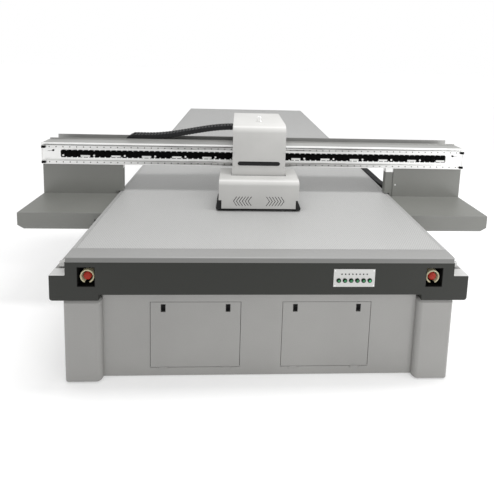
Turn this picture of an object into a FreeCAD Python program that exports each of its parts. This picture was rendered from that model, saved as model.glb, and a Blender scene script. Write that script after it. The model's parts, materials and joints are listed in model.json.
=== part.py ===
import FreeCAD, Part
import os

# A large flatbed UV printer: a fixed vacuum table on a cabinet, a gantry that runs along the
# table on two rails, a carriage that runs along the gantry's beam, and a head unit that the
# carriage raises and lowers. Millimetres. X runs to the right, Y to the rear, Z up.
# Pieces are laid out with y counted from the table's front edge, and save() shifts them so
# that the origin is on the floor under the middle of the table.

os.makedirs("parts", exist_ok=True)
Vec = FreeCAD.Vector

# table
table_width = 2500.0
table_length = 4500.0
table_top = 869.0
table_edge = 34.0
side_border = 28.0
end_border = 80.0
bed_thickness = 15.0
bed_gap = 1.0
bed_seat = 20.0
plenum_depth = 64.0
sheet = 3.0

# front band, with its ears over the side beams
band_depth = 60.0
band_wall = 4.0
band_drop = 253.0
band_leg_drop = 292.0
ear_reach = 99.0
ear_drop = 123.0
band_corner_r = 20.0

# legs and cabinet
leg_width = 240.0
leg_depth = 260.0
leg_reach = 25.0
leg_front = 3.0
leg_corner_r = 30.0
leg_neck = 22.0
floor_gap = 8.0
panel_setback = 37.0
panel_bottom = 5.0
post_size = 100.0
tube_wall = 6.0
cabinet_floor_z = 30.0

# doors and their latches
door_width = 590.0
door_height = 465.0
door_bottom = 65.0
door_centre = 435.0
door_gap = 3.0
door_depth = 18.0
door_skin = 2.0
hinge_pin_r = 2.0
hinge_clearance = 0.08
hinge_knuckle_r = 4.0
hinge_length = 50.0
hinge_spacing = 420.0
latch_width = 24.0
latch_height = 47.0
latch_offset = 212.0
latch_below_top = 41.0
latch_travel = 8.0
latch_side_gap = 0.5

# controls in the band
stop_inset = 131.0
guard_lower = 8.0
stop_drop = 132.0
stop_box_width = 110.0
stop_box_height = 130.0
stop_box_depth = 56.0
guard_outer_r = 45.0
guard_inner_r = 37.0
mushroom_r = 27.0
stop_stem_r = 8.0
stem_clearance = 0.08
plate_x = 588.0
plate_drop = 134.0
plate_width = 270.0
plate_height = 121.0
plate_thickness = 3.0
button_count = 6
button_pitch = 40.6
button_drop = 150.0
button_r = 9.0
bezel_r = 13.0
bezel_proud = 4.0
button_proud = 9.0

# rear panel, with its exhaust duct and power inlet
rear_setback = 60.0
duct_r = 51.0
duct_wall = 4.0
duct_x = 420.0
duct_z = 300.0
inlet_x = -420.0
inlet_r = 39.0
gland_r = 10.0

# side beams, rails and drive along Y
side_beam_width = 150.0
side_beam_height = 125.0
side_beam_wall = 8.0
y_rail_reach = 50.0
y_rail_width = 30.0
y_rail_height = 28.0
y_block_width = 70.0
y_block_length = 80.0
y_block_top = 49.0
rail_gap = 0.4
rail_end = 80.0

# gantry, with y at rest
beam_front = 810.0
beam_depth = 100.0
beam_height = 196.0
beam_clearance = 252.0
beam_overhang = 695.0
beam_wall = 12.0
beam_lip = 3.0
end_plate = 8.0
upright_depth = 90.0
upright_face_depth = 40.0
post_inset = 40.0
left_face_inset = 10.0
foot_depth = 220.0
x_rail_width = 23.0
x_rail_height = 22.0
x_rail_upper = 418.0
x_rail_lower = 279.0
magnet_height = 67.0
magnet_centre = 349.5
magnet_overhang = 522.0
shelf_front = 502.0
shelf_overhang = 684.0
shelf_height = 143.0
shelf_bevel = 40.0
shelf_bevel_depth = 14.0
shelf_wall = 2.5
shelf_drop = 23.0
trough_width = 118.0
trough_depth = 142.0
trough_inset = 12.0
trough_wall = 2.0

# carriage and head unit, heights counted up from the table top
carriage_width = 450.0
carriage_front = 617.0
carriage_rear = 1095.0
carriage_top = 686.0
carriage_bottom = 186.0
carriage_rear_bottom = 516.0
carriage_round = 60.0
carriage_plate_y = 760.0
plate_to_beam = 20.0
window_length = 360.0
window_height = 38.0
window_centre = 359.0
head_width = 660.0
head_front = 511.0
head_rear = 757.0
head_top = 257.0
head_bottom = 20.0
head_step = 24.0
head_step_z = 91.0
head_round = 40.0
guard_reach = 46.0
guard_round = 30.0
sleeve_gap = 8.0
vent_count = 6
vent_pitch = 24.0
vent_height = 79.0
vent_centre = 84.0
vent_reach = 27.0
vent_slot = 6.0
vent_tip = 211.0
lift_rail_x = 120.0
lift_rail_width = 20.0
lift_rail_depth = 15.0
lift_rod_r = 6.0
head_cell_x = 70.0
head_cell_y = 62.0

# drag chains
x_chain_height = 42.0
x_chain_width = 90.0
x_chain_r = 65.0
x_fold_x = -1170.0
x_chain_rise = 105.0
y_chain_height = 50.0
y_chain_width = 76.0
y_chain_r = 90.0
y_fold_y = 2750.0
y_anchor_y = 2400.0
chain_play = 2.0

# sizes that follow
half_width = table_width / 2
beam_half = half_width + beam_overhang
beam_bottom = table_top + beam_clearance
beam_top = beam_bottom + beam_height
beam_rear = beam_front + beam_depth
foot_front = beam_front - 20
foot_rear = foot_front + foot_depth
ear_half = half_width + ear_reach
ledge_top = table_top - ear_drop
ledge_bottom = ledge_top - side_beam_height
ledge_outer = ear_half
ledge_inner = ledge_outer - side_beam_width
table_bottom = table_top - table_edge
band_bottom = table_top - band_drop
leg_top = table_top - band_leg_drop
leg_outer = half_width + leg_reach
leg_inner = leg_outer - leg_width
panel_y = panel_setback
stop_x = half_width - stop_inset
door_top = door_bottom + door_height
y_rail_x = half_width + y_rail_reach
rear_reach = plate_thickness + button_proud


def box(x0, x1, y0, y1, z0, z1):
    low = Vec(min(x0, x1), min(y0, y1), min(z0, z1))
    return Part.makeBox(abs(x1 - x0), abs(y1 - y0), abs(z1 - z0), low)


def rod(x, y, z, radius, length, axis):
    return Part.makeCylinder(radius, length, Vec(x, y, z), axis)


def prism(points, shift):
    wire = Part.makePolygon(points + [points[0]])
    return Part.Face(wire).extrude(shift)


def prism_x(points, x0, x1):
    return prism([Vec(x0, y, z) for y, z in points], Vec(x1 - x0, 0, 0))


def prism_y(points, y0, y1):
    return prism([Vec(x, y0, z) for x, z in points], Vec(0, y1 - y0, 0))


def mirrored(solid):
    return solid.mirror(Vec(0, 0, 0), Vec(1, 0, 0))


def pair(solid):
    return [solid, mirrored(solid)]


def joined(pieces):
    whole = pieces[0]
    for piece in pieces[1:]:
        whole = whole.fuse(piece)
    return whole.removeSplitter()


def rounded(solid, radius, wanted):
    edges = [edge for edge in solid.Edges if wanted(edge)]
    return solid.makeFillet(radius, edges)


def runs_along(edge, direction):
    if len(edge.Vertexes) < 2:
        return False
    along = edge.Vertexes[1].Point.sub(edge.Vertexes[0].Point)
    return along.cross(direction).Length < 1e-6 * along.Length


def save(name, *solids):
    pieces = []
    for solid in solids:
        moved = solid.copy()
        moved.translate(Vec(0, -table_length / 2, 0))
        pieces += moved.Solids
    shape = pieces[0] if len(pieces) == 1 else Part.makeCompound(pieces)
    assert all(piece.isValid() for piece in pieces), name
    shape.exportStep("parts/" + name + ".step")


def square_tube(x0, x1, y0, y1, z0, z1, wall, along):
    outer = box(x0, x1, y0, y1, z0, z1)
    grow = [-wall, -wall, -wall]
    grow["xyz".index(along)] = 1.0
    inner = box(x0 - grow[0], x1 + grow[0], y0 - grow[1], y1 + grow[1],
                z0 - grow[2], z1 + grow[2])
    return outer.cut(inner)


# --- base frame ---

def side_beam():
    return square_tube(ledge_inner, ledge_outer, band_depth + 2, table_length - 8,
                       ledge_bottom, ledge_top, side_beam_wall, "y")


def post_places():
    """Front, middle and rear posts, by the y of their front face."""
    front = leg_front + 60
    rear = table_length - leg_front - 60 - post_size
    return [front, (front + rear) / 2, rear]


def crossmembers():
    post_x = (leg_outer + leg_inner) / 2
    inner = post_x - post_size / 2
    outer = post_x + post_size / 2
    pieces = []
    for y in post_places():
        pieces += pair(square_tube(inner, outer, y, y + post_size, 60, ledge_bottom,
                                   tube_wall, "z"))
    tube = 80.0
    count = 5
    first = post_places()[0] + post_size + 20
    step = (post_places()[2] - 20 - tube - first) / (count - 1)
    for i in range(count):
        y = first + i * step
        pieces.append(square_tube(-ledge_inner, ledge_inner, y, y + tube,
                                  ledge_top - 30 - tube, ledge_top - 30, tube_wall, "x"))
    for x in (-900.0, 0.0, 900.0):
        pieces.append(square_tube(x - tube / 2, x + tube / 2, first, first + step * 4 + tube,
                                  ledge_top - 30, table_top - bed_thickness - plenum_depth,
                                  tube_wall, "y"))
    z0 = cabinet_floor_z
    z1 = z0 + 4
    floor = box(-leg_inner, leg_inner, panel_y + 30, table_length - rear_setback - 10, z0, z1)
    between_legs = leg_front + leg_depth + 1
    wide = box(-inner, inner, between_legs, table_length - between_legs, z0, z1)
    return pieces + [joined([floor, wide])]


def levelling_feet():
    post_x = (leg_outer + leg_inner) / 2
    feet = []
    for y in post_places():
        pad = Part.makeCone(42, 30, 12, Vec(post_x, y + post_size / 2, 0))
        stem = rod(post_x, y + post_size / 2, 12, 10, 48, Vec(0, 0, 1))
        feet += pair(pad.fuse(stem))
    return feet


def band_outline(inset):
    """The band's face: low over the legs, stepped up between them, with an ear each side."""
    ear = ear_half - inset
    leg_in = leg_inner + 8 + inset
    low = leg_top + inset
    mid = band_bottom + inset
    top = table_bottom - inset
    ear_top = ledge_top - inset
    shoulder = half_width - inset
    right = [(leg_in, mid), (leg_in, low), (ear, low), (ear, ear_top), (shoulder, ear_top),
             (shoulder, top)]
    return right + [(-x, z) for x, z in reversed(right)]


def front_band():
    outer = prism_y(band_outline(0), 0, band_depth)
    outer = rounded(outer, band_corner_r, lambda e: runs_along(e, Vec(0, 1, 0))
                    and abs(abs(e.CenterOfMass.x) - ear_half) < 1
                    and abs(e.CenterOfMass.z - leg_top) < 1)
    inner = prism_y(band_outline(band_wall), band_wall, band_depth + 1)
    band = outer.cut(inner)
    stop_z = table_top - stop_drop
    for x in (-stop_x, stop_x):
        band = band.cut(box(x - stop_box_width / 2, x + stop_box_width / 2, -1, band_wall + 1,
                            stop_z - stop_box_height / 2, stop_z + stop_box_height / 2))
    plate_z = table_top - plate_drop
    margin = 5.0
    return band.cut(box(plate_x - plate_width / 2 + margin, plate_x + plate_width / 2 - margin,
                        -1, band_wall + 1, plate_z - plate_height / 2 + margin,
                        plate_z + plate_height / 2 - margin))


def leg_form(inset):
    """A sheet-metal leg with round upright corners and a chamfered neck under the band."""
    form = box(leg_inner + inset, leg_outer - inset, leg_front + inset,
               leg_front + leg_depth - inset, floor_gap - inset, leg_top - inset)
    form = rounded(form, leg_corner_r - inset, lambda e: runs_along(e, Vec(0, 0, 1)))
    top = [e for e in form.Edges if abs(e.CenterOfMass.z - (leg_top - inset)) < 0.01]
    return form.makeChamfer(leg_neck, top)


def leg_covers():
    """Four hollow covers, open at the bottom, with a hole in the top for the post."""
    leg = leg_form(0).cut(leg_form(sheet))
    x = (leg_outer + leg_inner) / 2
    half = post_size / 2 + 1
    y = post_places()[0] + post_size / 2
    leg = leg.cut(box(x - half, x + half, y - half, y + half, leg_top - 2 * sheet, leg_top + 1))
    rear = leg.mirror(Vec(0, table_length / 2, 0), Vec(0, 1, 0))
    return pair(leg) + pair(rear)


# --- cabinet ---

def hinge_places(door_x):
    return [door_x - hinge_spacing / 2, door_x + hinge_spacing / 2]


def hinge_z():
    return door_bottom - door_gap / 2


def front_panel():
    panel = box(-leg_inner, leg_inner, panel_y, panel_y + sheet, panel_bottom, band_bottom)
    rim = [box(-leg_inner, leg_inner, panel_y, panel_y + 25, panel_bottom, panel_bottom + sheet),
           box(-leg_inner, leg_inner, panel_y, panel_y + 20, band_bottom - sheet, band_bottom)]
    panel = joined([panel] + rim)
    pins = []
    for x in (-door_centre, door_centre):
        opening = box(x - door_width / 2 - door_gap, x + door_width / 2 + door_gap,
                      panel_y - 1, panel_y + sheet + 1, door_bottom - door_gap,
                      door_top + door_gap)
        panel = panel.cut(opening)
        for hinge_x in hinge_places(x):
            reach = hinge_length / 2 + 8
            pins.append(rod(hinge_x - reach, panel_y, hinge_z(), hinge_pin_r, 2 * reach,
                            Vec(1, 0, 0)))
            notch = box(hinge_x - hinge_length / 2 - 1, hinge_x + hinge_length / 2 + 1,
                        panel_y - 1, panel_y + sheet + 1, hinge_z() - hinge_knuckle_r - 1,
                        hinge_z())
            panel = panel.cut(notch)
            for end in (-1, 1):
                ear = box(hinge_x + end * (hinge_length / 2 + 2), hinge_x + end * reach,
                          panel_y - hinge_knuckle_r, panel_y + 1,
                          hinge_z() - hinge_knuckle_r - 8, hinge_z() - 0.5)
                panel = panel.fuse(ear)
    for pin in pins:
        panel = panel.fuse(pin)
    return panel.removeSplitter()


def latch_places(door_x):
    return [door_x - latch_offset, door_x + latch_offset]


def latch_z():
    return door_top - latch_below_top


def door(door_x):
    """A shallow pan with turned edges, two latch windows and two hinge knuckles."""
    x0 = door_x - door_width / 2
    x1 = door_x + door_width / 2
    pan = box(x0, x1, panel_y, panel_y + door_depth, door_bottom, door_top)
    pan = pan.cut(box(x0 + door_skin, x1 - door_skin, panel_y + door_skin,
                      panel_y + door_depth + 1, door_bottom + door_skin, door_top - door_skin))
    for x in latch_places(door_x):
        half = latch_width / 2
        pan = pan.cut(box(x - half, x + half, panel_y - 1, panel_y + door_skin + 1,
                          latch_z() - latch_height / 2, latch_z() + latch_height / 2))
        pan = pan.cut(box(x - half, x + half, panel_y + door_skin, panel_y + door_depth + 1,
                          door_top - door_skin - 1, door_top + 1))
    for x in hinge_places(door_x):
        knuckle = rod(x - hinge_length / 2, panel_y, hinge_z(), hinge_knuckle_r, hinge_length,
                      Vec(1, 0, 0))
        web = box(x - hinge_length / 2, x + hinge_length / 2, panel_y, panel_y + door_skin,
                  hinge_z(), door_bottom + 1)
        bore = rod(x - hinge_length, panel_y, hinge_z(), hinge_pin_r + hinge_clearance,
                   2 * hinge_length, Vec(1, 0, 0))
        pan = pan.fuse(knuckle).fuse(web).cut(bore)
    return pan.removeSplitter()


def latch(x):
    """A paddle that slides down in its window, with a tongue that hooks behind the panel."""
    half = latch_width / 2 - latch_side_gap
    top = latch_z() + latch_height / 2 - latch_side_gap
    bottom = latch_z() - latch_height / 2 + latch_travel + latch_side_gap
    paddle = box(x - half, x + half, panel_y - 1.5, panel_y + 7, bottom, top)
    grip = box(x - half + 3, x + half - 3, panel_y - 3, panel_y - 1.5, bottom + 6, bottom + 14)
    tongue = box(x - half + 5, x + half - 5, panel_y + sheet + 0.5, panel_y + 7, top - 2,
                 door_top + door_gap + 5)
    return joined([paddle, grip, tongue])


def side_panel():
    x = leg_outer - 35
    return box(x, x + sheet, leg_front + leg_depth + 1, table_length - leg_front - leg_depth - 1,
               15, ledge_bottom - 1)


def rear_panel():
    """The duct reaches as far behind the table as the buttons stand out in front."""
    y = table_length - rear_setback
    panel = box(-leg_inner, leg_inner, y, y + sheet, 15, table_bottom)
    duct_length = 20 + rear_setback + rear_reach
    duct = rod(duct_x, y - 20, duct_z, duct_r + duct_wall, duct_length, Vec(0, 1, 0))
    panel = panel.cut(duct)
    duct = duct.cut(rod(duct_x, y - 30, duct_z, duct_r, duct_length + 20, Vec(0, 1, 0)))
    panel = panel.cut(rod(inlet_x, y - 1, duct_z, inlet_r + 1, sheet + 2, Vec(0, 1, 0)))
    slots = 9
    slot_step = 26.0
    for i in range(slots):
        z = duct_z - slot_step * (slots - 1) / 2 + i * slot_step
        panel = panel.cut(box(-150, 150, y - 1, y + sheet + 1, z, z + 10))
    return [panel, duct]


def power_inlet():
    y = table_length - rear_setback
    half = inlet_r + 11
    plate = box(inlet_x - half, inlet_x + half, y + sheet, y + sheet + 4, duct_z - half,
                duct_z + half)
    body = rod(inlet_x, y - 45, duct_z, inlet_r, 45 + sheet, Vec(0, 1, 0))
    gland = rod(inlet_x, y + sheet + 4, duct_z, gland_r + 6, 22, Vec(0, 1, 0))
    inlet = joined([plate, body, gland])
    return inlet.cut(rod(inlet_x, y - 50, duct_z, gland_r, 90, Vec(0, 1, 0)))


def electronics_box():
    z0 = cabinet_floor_z + 4
    case = box(-door_centre - 270, -door_centre + 270, 250, 600, z0, z0 + 400)
    case = case.cut(box(-door_centre - 268, -door_centre + 268, 252, 598, z0 + 2, z0 + 398))
    for i in range(8):
        z = z0 + 120 + i * 22
        case = case.cut(box(-door_centre - 180, -door_centre + 180, 249, 253, z, z + 8))
    return case


def ink_bottles():
    bottles = []
    z0 = cabinet_floor_z + 4
    for i in range(6):
        x = door_centre - 225 + i * 90
        body = rod(x, 220, z0, 40, 190, Vec(0, 0, 1))
        neck = rod(x, 220, z0 + 190, 16, 30, Vec(0, 0, 1))
        bottles.append(body.fuse(neck))
    return bottles


def vacuum_blower():
    """A side-channel blower on the cabinet floor, with its pipe up to the plenum."""
    z0 = cabinet_floor_z + 4
    plenum_floor = table_top - bed_thickness - plenum_depth
    y = table_length * 0.45
    foot = box(-140, 140, y - 120, y + 160, z0, z0 + 20)
    casing = rod(0, y - 60, z0 + 190, 170, 110, Vec(0, 1, 0))
    motor = rod(0, y + 50, z0 + 190, 90, 170, Vec(0, 1, 0))
    pipe_x = 120.0
    pipe = rod(pipe_x, y - 5, z0 + 240, 38, plenum_floor - z0 - 240, Vec(0, 0, 1))
    return [foot.cut(casing), casing, motor, pipe.cut(casing)]


# --- table ---

def bed_hole(grow, z0, z1):
    return box(-half_width + side_border - grow, half_width - side_border + grow,
               end_border - grow, table_length - end_border + grow, z0, z1)


def table_border():
    slab = box(-half_width, half_width, 0, table_length, table_bottom, table_top)
    slab = rounded(slab, 12.0, lambda e: runs_along(e, Vec(0, 0, 1)))
    slab = slab.makeFillet(5.0, [e for e in slab.Edges if e.BoundBox.ZMin > table_top - 0.01])
    slab = slab.cut(bed_hole(0, table_top - bed_thickness, table_top + 1))
    return slab.cut(bed_hole(-bed_seat, table_bottom - 1, table_top))


def vacuum_bed():
    return bed_hole(-bed_gap, table_top - bed_thickness, table_top)


def vacuum_plenum():
    top = table_top - bed_thickness
    outer = bed_hole(-bed_seat - 6, top - plenum_depth, top)
    return outer.cut(bed_hole(-bed_seat - 6 - sheet, top - plenum_depth + sheet, top + 1))


# --- drive along Y ---

def y_rails():
    rail = box(y_rail_x - y_rail_width / 2, y_rail_x + y_rail_width / 2, rail_end,
               table_length - rail_end, ledge_top, ledge_top + y_rail_height)
    stops = [box(y_rail_x - 22, y_rail_x + 22, y, y + 14, ledge_top, ledge_top + 42)
             for y in (rail_end - 15, table_length - rail_end + 1)]
    return sum([pair(piece) for piece in [rail] + stops], [])


def y_magnet_tracks():
    x0 = ledge_inner + 7
    return pair(box(x0, x0 + 46, rail_end + 20, table_length - rail_end - 20, ledge_top,
                    ledge_top + 8))


def y_blocks():
    blocks = []
    for y in (foot_front + 10, foot_rear - 10 - y_block_length):
        block = box(y_rail_x - y_block_width / 2, y_rail_x + y_block_width / 2, y,
                    y + y_block_length, ledge_top + 4, ledge_top + y_block_top)
        slot = box(y_rail_x - y_rail_width / 2 - rail_gap, y_rail_x + y_rail_width / 2 + rail_gap,
                   y - 1, y + y_block_length + 1, ledge_top, ledge_top + y_rail_height + rail_gap)
        blocks += pair(block.cut(slot))
    return blocks


def y_forcers():
    x0 = ledge_inner + 11
    return pair(box(x0, x0 + 38, foot_front + 40, foot_rear - 40, ledge_top + 9,
                    ledge_top + y_block_top))


def upright_tops(inset, z0, z1):
    """The thin face beside the table, and the deep post behind the shelf's back panel."""
    y0 = beam_front + 5
    post_x = y_rail_x + post_inset - 30
    face = box(half_width - 35 + inset, post_x, y0, y0 + upright_face_depth, z0, z1)
    post = box(post_x, post_x + 45, y0, y0 + upright_depth, z0, z1)
    return face.fuse(post)


def uprights():
    """Each side: a foot on the rail blocks, a post outside the table, a face over its edge."""
    foot_z = ledge_top + y_block_top
    foot = box(ledge_inner + 7, ledge_outer - 4, foot_front, foot_rear, foot_z, foot_z + 12)
    over_table = table_top + 6
    y1 = beam_front + 5 + upright_depth
    post = box(half_width + 12, y_rail_x + post_inset - 5, y1 - upright_depth, y1, foot_z + 12,
               over_table)
    tops = [upright_tops(inset, over_table, beam_bottom - 40) for inset in (left_face_inset, 0)]
    bracket = bracket_arm(y1).fuse(bracket_drop(y1))
    return [mirrored(joined([foot, post, tops[0]])), joined([foot, post, tops[1], bracket])]


def bracket_arm(y):
    return box(half_width + 12, chain_lane()[1], y, y + 20, table_top - 60, table_top - 10)


def bracket_drop(y):
    """The plate that the Y chain's end is screwed to."""
    x0, x1 = chain_lane()
    return box(x0 - 6, x1, y, y + 20, table_top - 100, table_top - 10)


def beam():
    """A hollow extrusion with a lip along the front's top and bottom edges."""
    lip = 14.0
    y0 = beam_front
    points = [(y0 - beam_lip, beam_bottom), (beam_rear, beam_bottom), (beam_rear, beam_top),
              (y0 - beam_lip, beam_top), (y0 - beam_lip, beam_top - lip), (y0, beam_top - lip),
              (y0, beam_bottom + lip), (y0 - beam_lip, beam_bottom + lip)]
    inner_half = beam_half - end_plate
    tube = prism_x(points, -inner_half, inner_half)
    tube = tube.cut(box(-beam_half, beam_half, y0 + beam_wall, beam_rear - beam_wall,
                        beam_bottom + beam_wall, beam_top - beam_wall))
    cap = box(inner_half, beam_half, y0 - beam_lip, beam_rear, beam_bottom, beam_top)
    risers = [upright_tops(inset, beam_bottom - 40, beam_bottom)
              for inset in (left_face_inset, 0)]
    return [tube] + pair(cap) + [mirrored(risers[0]), risers[1]]


def x_rail(height):
    z = table_top + height
    return box(-beam_half + 15, beam_half - 15, beam_front - x_rail_height, beam_front,
               z - x_rail_width / 2, z + x_rail_width / 2)


def x_rail_stops():
    stops = []
    for height in (x_rail_upper, x_rail_lower):
        z = table_top + height
        stop = box(beam_half - 52, beam_half - 20, beam_front - x_rail_height - 10,
                   beam_front - x_rail_height, z - 11, z + 11)
        stops += pair(stop)
    return stops


def x_magnet_track():
    half = half_width + magnet_overhang
    z = table_top + magnet_centre
    return box(-half, half, beam_front - 9, beam_front, z - magnet_height / 2,
               z + magnet_height / 2)


def trough_floor():
    return beam_top - trough_depth + 15


def cable_trough():
    """A cover strip on the beam's top that turns down into a channel behind the beam."""
    half = beam_half - trough_inset
    y0 = beam_rear + 1
    y1 = y0 + trough_width
    rim = beam_top + 13
    strip = box(-half, half, beam_front + 10, y0, beam_top, beam_top + trough_wall)
    front = box(-half, half, y0, y0 + trough_wall, trough_floor() - trough_wall, rim)
    floor = box(-half, half, y0, y1, trough_floor() - trough_wall, trough_floor())
    rear = box(-half, half, y1 - trough_wall, y1, trough_floor() - trough_wall, rim)
    return joined([strip, front, floor, rear])


def shelf(panel_inner):
    """A closed tray beside the table with bevelled lower edges, a lip that reaches in over the
    rail, and an upright panel behind it."""
    outer = half_width + shelf_overhang
    top = table_top - shelf_drop
    low = top - shelf_height
    inner = ledge_outer + 2
    y0 = shelf_front
    y1 = beam_front + sheet
    tray = tray_form(inner, outer, y0, y1, low, top, 0)
    tray = tray.cut(tray_form(inner, outer, y0, y1, low, top, shelf_wall))
    reach = half_width + 12
    over_stop = ledge_top + 46
    lip = [box(reach, inner + 1, y0, y1, top - 12, top),
           box(reach, inner + 1, y0, y0 + sheet, over_stop, top),
           box(y_rail_x + 25, inner + 1, y0, y0 + sheet, ledge_top + 6, over_stop)]
    back = box(y_rail_x - 13, outer, y1 - sheet, y1, top - 1, beam_bottom)
    pieces = [tray, back] + lip
    if panel_inner < y_rail_x - 13:
        pieces.append(box(panel_inner, y_rail_x - 12, y1 - sheet, y1, table_top + 4,
                          beam_bottom))
    return joined(pieces)


def tray_form(inner, outer, y0, y1, low, top, inset):
    """The tray's outer form, or its hollow when it is set in by the wall."""
    bevel_z = low + shelf_bevel
    form = prism_x([(y0 + inset, top - inset), (y0 + inset, bevel_z),
                    (y0 + shelf_bevel_depth + inset, low + inset), (y1 - inset, low + inset),
                    (y1 - inset, top - inset)], inner + inset, outer - inset)
    corner = prism_y([(outer - shelf_bevel - inset, low - 1), (outer + 1, low - 1),
                      (outer + 1, bevel_z + inset), (outer - inset, bevel_z + inset)],
                     y0 - 1, y1 + 1)
    return form.cut(corner)


# --- drag chains ---

def chain_path(points, height, across):
    """A flat bar of the chain's section along straight runs, upright in the side view."""
    upper = [(a, z + height / 2) for a, z in points]
    lower = [(a, z - height / 2) for a, z in reversed(points)]
    return prism([across(a, z) for a, z in upper + lower], across(None, None))


def x_chain_lane():
    y0 = beam_rear + 1 + (trough_width - x_chain_width) / 2
    return y0, y0 + x_chain_width


def x_chain_z():
    """The middle heights of the lower run, the fold and the upper run."""
    lower = trough_floor() + chain_play + x_chain_height / 2
    return lower, lower + x_chain_r, lower + 2 * x_chain_r


def x_chain_run(points):
    y0, y1 = x_chain_lane()

    def across(x, z):
        return Vec(0, y1 - y0, 0) if x is None else Vec(x, y0, z)

    return chain_path(points, x_chain_height, across)


def x_chain_lower():
    z = x_chain_z()[0]
    return x_chain_run([(x_fold_x, z), (0.0, z)])


def x_chain_upper():
    z = x_chain_z()[2]
    return x_chain_run([(x_fold_x, z), (x_fold_x + 180, z),
                        (-carriage_width / 2 - 10, z + x_chain_rise)])


def half_ring(centre, radius, height, width, axis, keep):
    outer = rod(centre.x, centre.y, centre.z, radius + height / 2, width, axis)
    inner = rod(centre.x, centre.y, centre.z, radius - height / 2, width, axis)
    return outer.cut(inner).common(keep)


def x_chain_fold():
    y0, y1 = x_chain_lane()
    z = x_chain_z()[1]
    reach = x_chain_r + x_chain_height
    keep = box(x_fold_x - reach, x_fold_x - 0.5, y0, y1, z - reach, z + reach)
    return half_ring(Vec(x_fold_x, y0, z), x_chain_r, x_chain_height, y1 - y0, Vec(0, 1, 0), keep)


def chain_lane():
    """The x of the Y chain's two sides, outside the right side beam."""
    x0 = ledge_outer + 14
    return x0, x0 + y_chain_width


def y_channel_floor():
    return ledge_bottom - 76


def y_chain_z():
    lower = y_channel_floor() + chain_play + y_chain_height / 2
    return lower, lower + y_chain_r, lower + 2 * y_chain_r


def y_chain_run(points):
    x0, x1 = chain_lane()

    def across(y, z):
        return Vec(x1 - x0, 0, 0) if y is None else Vec(x0, y, z)

    return chain_path(points, y_chain_height, across)


def y_chain_lower():
    z = y_chain_z()[0]
    return y_chain_run([(y_anchor_y, z), (y_fold_y, z)])


def y_chain_upper():
    z = y_chain_z()[2]
    start = beam_front + 5 + upright_depth + 21
    return y_chain_run([(start, z + 44), (start + 160, z + 18), (start + 400, z),
                        (y_fold_y, z)])


def y_chain_fold():
    x0, x1 = chain_lane()
    z = y_chain_z()[1]
    reach = y_chain_r + y_chain_height
    keep = box(x0, x1, y_fold_y + 0.5, y_fold_y + reach, z - reach, z + reach)
    return half_ring(Vec(x0, y_fold_y, z), y_chain_r, y_chain_height, x1 - x0, Vec(1, 0, 0), keep)


def y_chain_channel():
    x0, x1 = chain_lane()
    x0 -= 6
    x1 += 6
    floor = y_channel_floor()
    y0 = beam_rear + 30
    y1 = table_length - 20
    wall = 2.0
    channel = box(x0, x1, y0, y1, floor - wall, floor + 55)
    channel = channel.cut(box(x0 + wall, x1 - wall, y0 - 1, y1 + 1, floor, floor + 56))
    tabs = []
    count = 6
    for i in range(count):
        y = y0 + 40 + i * (y1 - y0 - 140) / (count - 1)
        tabs.append(box(ledge_outer, x0 + wall, y, y + 60, floor, ledge_bottom + 40))
    return joined([channel] + tabs)


# --- controls ---

def stop_station(x):
    """An open box let into the band, with a guard collar that is open at the bottom."""
    z = table_top - stop_drop
    half_w = stop_box_width / 2
    half_h = stop_box_height / 2
    case = box(x - half_w, x + half_w, 0.5, stop_box_depth, z - half_h, z + half_h)
    case = case.cut(box(x - half_w + 2.5, x + half_w - 2.5, 0, stop_box_depth - sheet,
                        z - half_h + 2.5, z + half_h - 2.5))
    case = case.cut(rod(x, 0, z - guard_lower, stop_stem_r + stem_clearance, stop_box_depth + 1,
                        Vec(0, 1, 0)))
    y0 = 12.0
    back = stop_box_depth - sheet
    z -= guard_lower
    guard = rod(x, y0, z, guard_outer_r, back - y0, Vec(0, 1, 0))
    guard = guard.cut(rod(x, y0 - 1, z, guard_inner_r, back, Vec(0, 1, 0)))
    gap = 17.0
    guard = guard.cut(box(x - gap, x + gap, y0 - 1, back - 6, z - guard_outer_r - 1, z))
    return [case, guard]


def stop_button(x):
    z = table_top - stop_drop - guard_lower
    y0 = 14.0
    stem = rod(x, y0 + 6, z, stop_stem_r, stop_box_depth + 14 - y0, Vec(0, 1, 0))
    cap = rod(x, y0, z, mushroom_r, 16, Vec(0, 1, 0))
    cap = cap.makeFillet(5.0, [e for e in cap.Edges if abs(e.CenterOfMass.y - y0) < 0.01])
    skirt = Part.makeCone(mushroom_r - 2, 16, 12, Vec(x, y0 + 16, z), Vec(0, 1, 0))
    return joined([cap, skirt, stem])


def button_places():
    first = plate_x - button_pitch * (button_count - 1) / 2
    return [first + i * button_pitch for i in range(button_count)]


def control_plate():
    z = table_top - plate_drop
    button_z = table_top - button_drop
    plate = box(plate_x - plate_width / 2, plate_x + plate_width / 2, -plate_thickness, 0,
                z - plate_height / 2, z + plate_height / 2)
    bezels = []
    bore_r = button_r + stem_clearance
    for x in button_places():
        hole = rod(x, -20, button_z, bore_r, 60, Vec(0, 1, 0))
        plate = plate.cut(hole)
        bezel = rod(x, -plate_thickness - bezel_proud, button_z, bezel_r, bezel_proud,
                    Vec(0, 1, 0))
        bezels.append(bezel.cut(hole))
    return [plate] + bezels


def push_button(x):
    z = table_top - button_drop
    cap = rod(x, -plate_thickness - button_proud, z, button_r, 22, Vec(0, 1, 0))
    return cap.makeFillet(1.5, [e for e in cap.Edges
                                if abs(e.CenterOfMass.y + plate_thickness + button_proud) < 0.01])


# --- carriage ---

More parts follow.
